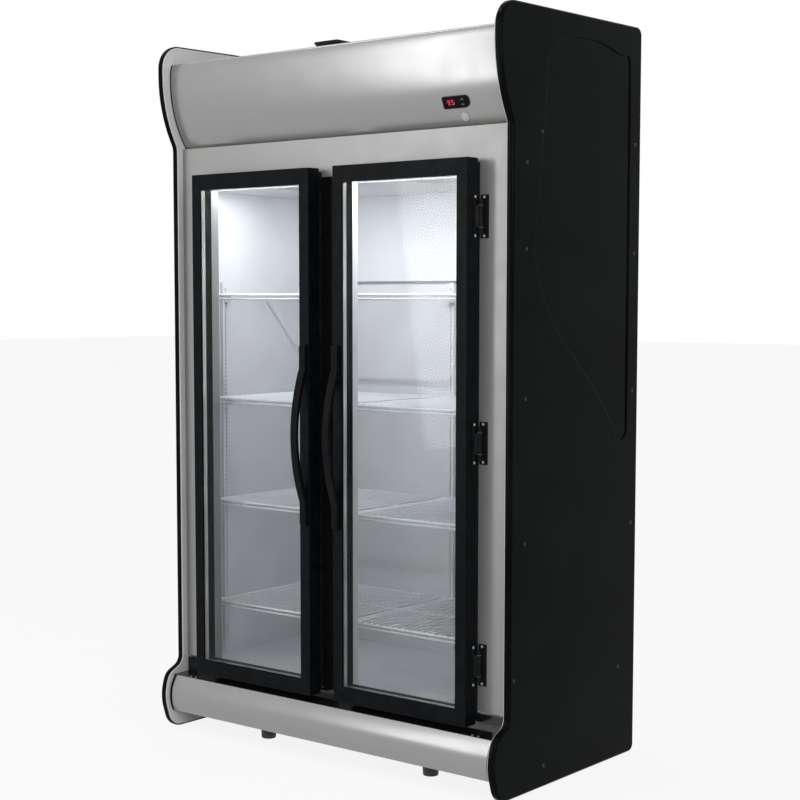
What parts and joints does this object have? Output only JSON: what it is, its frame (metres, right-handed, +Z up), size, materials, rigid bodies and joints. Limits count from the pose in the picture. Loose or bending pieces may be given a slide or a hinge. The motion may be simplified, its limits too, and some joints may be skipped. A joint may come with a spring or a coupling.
{
  "type": "upright display refrigerator",
  "caption": "Upright display refrigerator with hinged glass doors, wire shelves, a curved header with its controls, moulded side panels and an open-top condensing unit.",
  "frame": {"origin": "on the floor, under the middle of the whole object, handles included", "axes": "+X to the right as seen from the front, +Y to the back, +Z up"},
  "size_m": [1.244, 0.7125, 2.0677],
  "materials": {
    "panel_black": "vacuum-formed, glossy black",
    "sheet_grey": "light grey paint",
    "frame_silver": "satin silver-grey paint",
    "post_black": "satin black paint",
    "screws_zinc": "zinc plated",
    "door_black": "black anodised",
    "handle_black": "moulded, semi-gloss black",
    "glass_clear": "clear float glass",
    "spacer_bar": "mill finish",
    "seal_black": "matt black",
    "hinge_black": "black powder coat",
    "liner_white": "white paint",
    "shelf_white": "white plastic-coated wire",
    "foam": "rigid polyurethane foam",
    "deck_galvanised": "galvanised",
    "base_black": "black paint",
    "tray_plastic": "moulded",
    "foot_black": "moulded, matt black",
    "coil_aluminium": "mill finish fins",
    "fan_black": "moulded",
    "motor_grey": "grey paint",
    "compressor_black": "gloss black paint",
    "pipe_copper": "copper tube",
    "lamp_white": "opal diffuser",
    "control_black": "glossy black",
    "key_black": "soft black",
    "switch_pale": "pale grey"
  },
  "bodies": {
    "cabinet": {"side_panel_left": "panel_black", "side_panel_right": "panel_black", "side_sheet_left": "sheet_grey", "side_sheet_right": "sheet_grey", "back_panel": "sheet_grey", "rear_grille": "sheet_grey", "frame_stile_left": "frame_silver", "frame_stile_right": "frame_silver", "frame_rails": "frame_silver", "header_panel": "frame_silver", "kick_panel": "frame_silver", "mullion": "post_black", "sill_strip": "post_black", "edge_trims": "post_black", "electrical_box": "post_black", "condenser_shroud": "post_black", "cover_screws": "screws_zinc", "frame_hinge_leaves": "hinge_black", "liner_walls": "liner_white", "evaporator_cover": "liner_white", "shelf_supports": "liner_white", "shelf_level_1": "shelf_white", "shelf_level_2": "shelf_white", "shelf_level_3": "shelf_white", "shelf_level_4": "shelf_white", "insulation": "foam", "machine_deck": "deck_galvanised", "base_frame": "base_black", "drain_tray": "tray_plastic", "evaporator_coil": "coil_aluminium", "condenser": "coil_aluminium", "condenser_fan_motor": "motor_grey", "evaporator_fan_motors": "motor_grey", "compressor": "compressor_black", "refrigerant_pipes": "pipe_copper", "lamp_battens": "lamp_white", "controller_case": "control_black", "lamp_switch_case": "switch_pale"},
    "left_door": {"door_frame_left": "door_black", "door_glass_left": "glass_clear", "door_spacer_left": "spacer_bar", "door_gasket_left": "seal_black", "door_handle_left": "handle_black", "door_hinge_leaves_left": "hinge_black"},
    "right_door": {"door_frame_right": "door_black", "door_glass_right": "glass_clear", "door_spacer_right": "spacer_bar", "door_gasket_right": "seal_black", "door_handle_right": "handle_black", "door_hinge_leaves_right": "hinge_black"},
    "condenser_fan": {"condenser_fan": "fan_black"},
    "evaporator_fan_left": {"evaporator_fan_left": "fan_black"},
    "evaporator_fan_right": {"evaporator_fan_right": "fan_black"},
    "controller_key_up": {"controller_key_up": "key_black"},
    "controller_key_down": {"controller_key_down": "key_black"},
    "lamp_switch_button": {"lamp_switch_button": "switch_pale"},
    "foot_front_left": {"foot_front_left": "foot_black"},
    "foot_front_right": {"foot_front_right": "foot_black"},
    "foot_rear_left": {"foot_rear_left": "foot_black"},
    "foot_rear_right": {"foot_rear_right": "foot_black"}
  },
  "joints": [
    {"name": "left_door_hinge", "type": "hinge", "parent": "cabinet", "child": "left_door", "pos_m": [-0.5126, -0.2597, 1], "axis": [0, 0, -1], "range_deg": [0, 100]},
    {"name": "right_door_hinge", "type": "hinge", "parent": "cabinet", "child": "right_door", "pos_m": [0.5126, -0.2597, 1], "axis": [0, 0, 1], "range_deg": [0, 100]},
    {"name": "condenser_fan_spin", "type": "hinge", "parent": "cabinet", "child": "condenser_fan", "pos_m": [0.2, -0.0667, 1.8785], "axis": [0, 1, 0], "continuous": true},
    {"name": "evaporator_fan_left_spin", "type": "hinge", "parent": "cabinet", "child": "evaporator_fan_left", "pos_m": [-0.25, -0.1127, 1.6585], "axis": [0, 0, 1], "continuous": true},
    {"name": "evaporator_fan_right_spin", "type": "hinge", "parent": "cabinet", "child": "evaporator_fan_right", "pos_m": [0.25, -0.1127, 1.6585], "axis": [0, 0, 1], "continuous": true},
    {"name": "controller_key_up_press", "type": "slide", "parent": "cabinet", "child": "controller_key_up", "axis": [0, 0.9165, 0.4], "range_m": [0, 0.0008], "stiffness_N_per_m": 300},
    {"name": "controller_key_down_press", "type": "slide", "parent": "cabinet", "child": "controller_key_down", "axis": [0, 0.9165, 0.4], "range_m": [0, 0.0008], "stiffness_N_per_m": 300},
    {"name": "lamp_switch_press", "type": "slide", "parent": "cabinet", "child": "lamp_switch_button", "axis": [0, 0.8582, 0.5133], "range_m": [0, 0.003], "stiffness_N_per_m": 400},
    {"name": "foot_front_left_level", "type": "slide", "parent": "cabinet", "child": "foot_front_left", "axis": [0, 0, -1], "range_m": [0, 0.012]},
    {"name": "foot_front_right_level", "type": "slide", "parent": "cabinet", "child": "foot_front_right", "axis": [0, 0, -1], "range_m": [0, 0.012]},
    {"name": "foot_rear_left_level", "type": "slide", "parent": "cabinet", "child": "foot_rear_left", "axis": [0, 0, -1], "range_m": [0, 0.012]},
    {"name": "foot_rear_right_level", "type": "slide", "parent": "cabinet", "child": "foot_rear_right", "axis": [0, 0, -1], "range_m": [0, 0.012]}
  ]
}
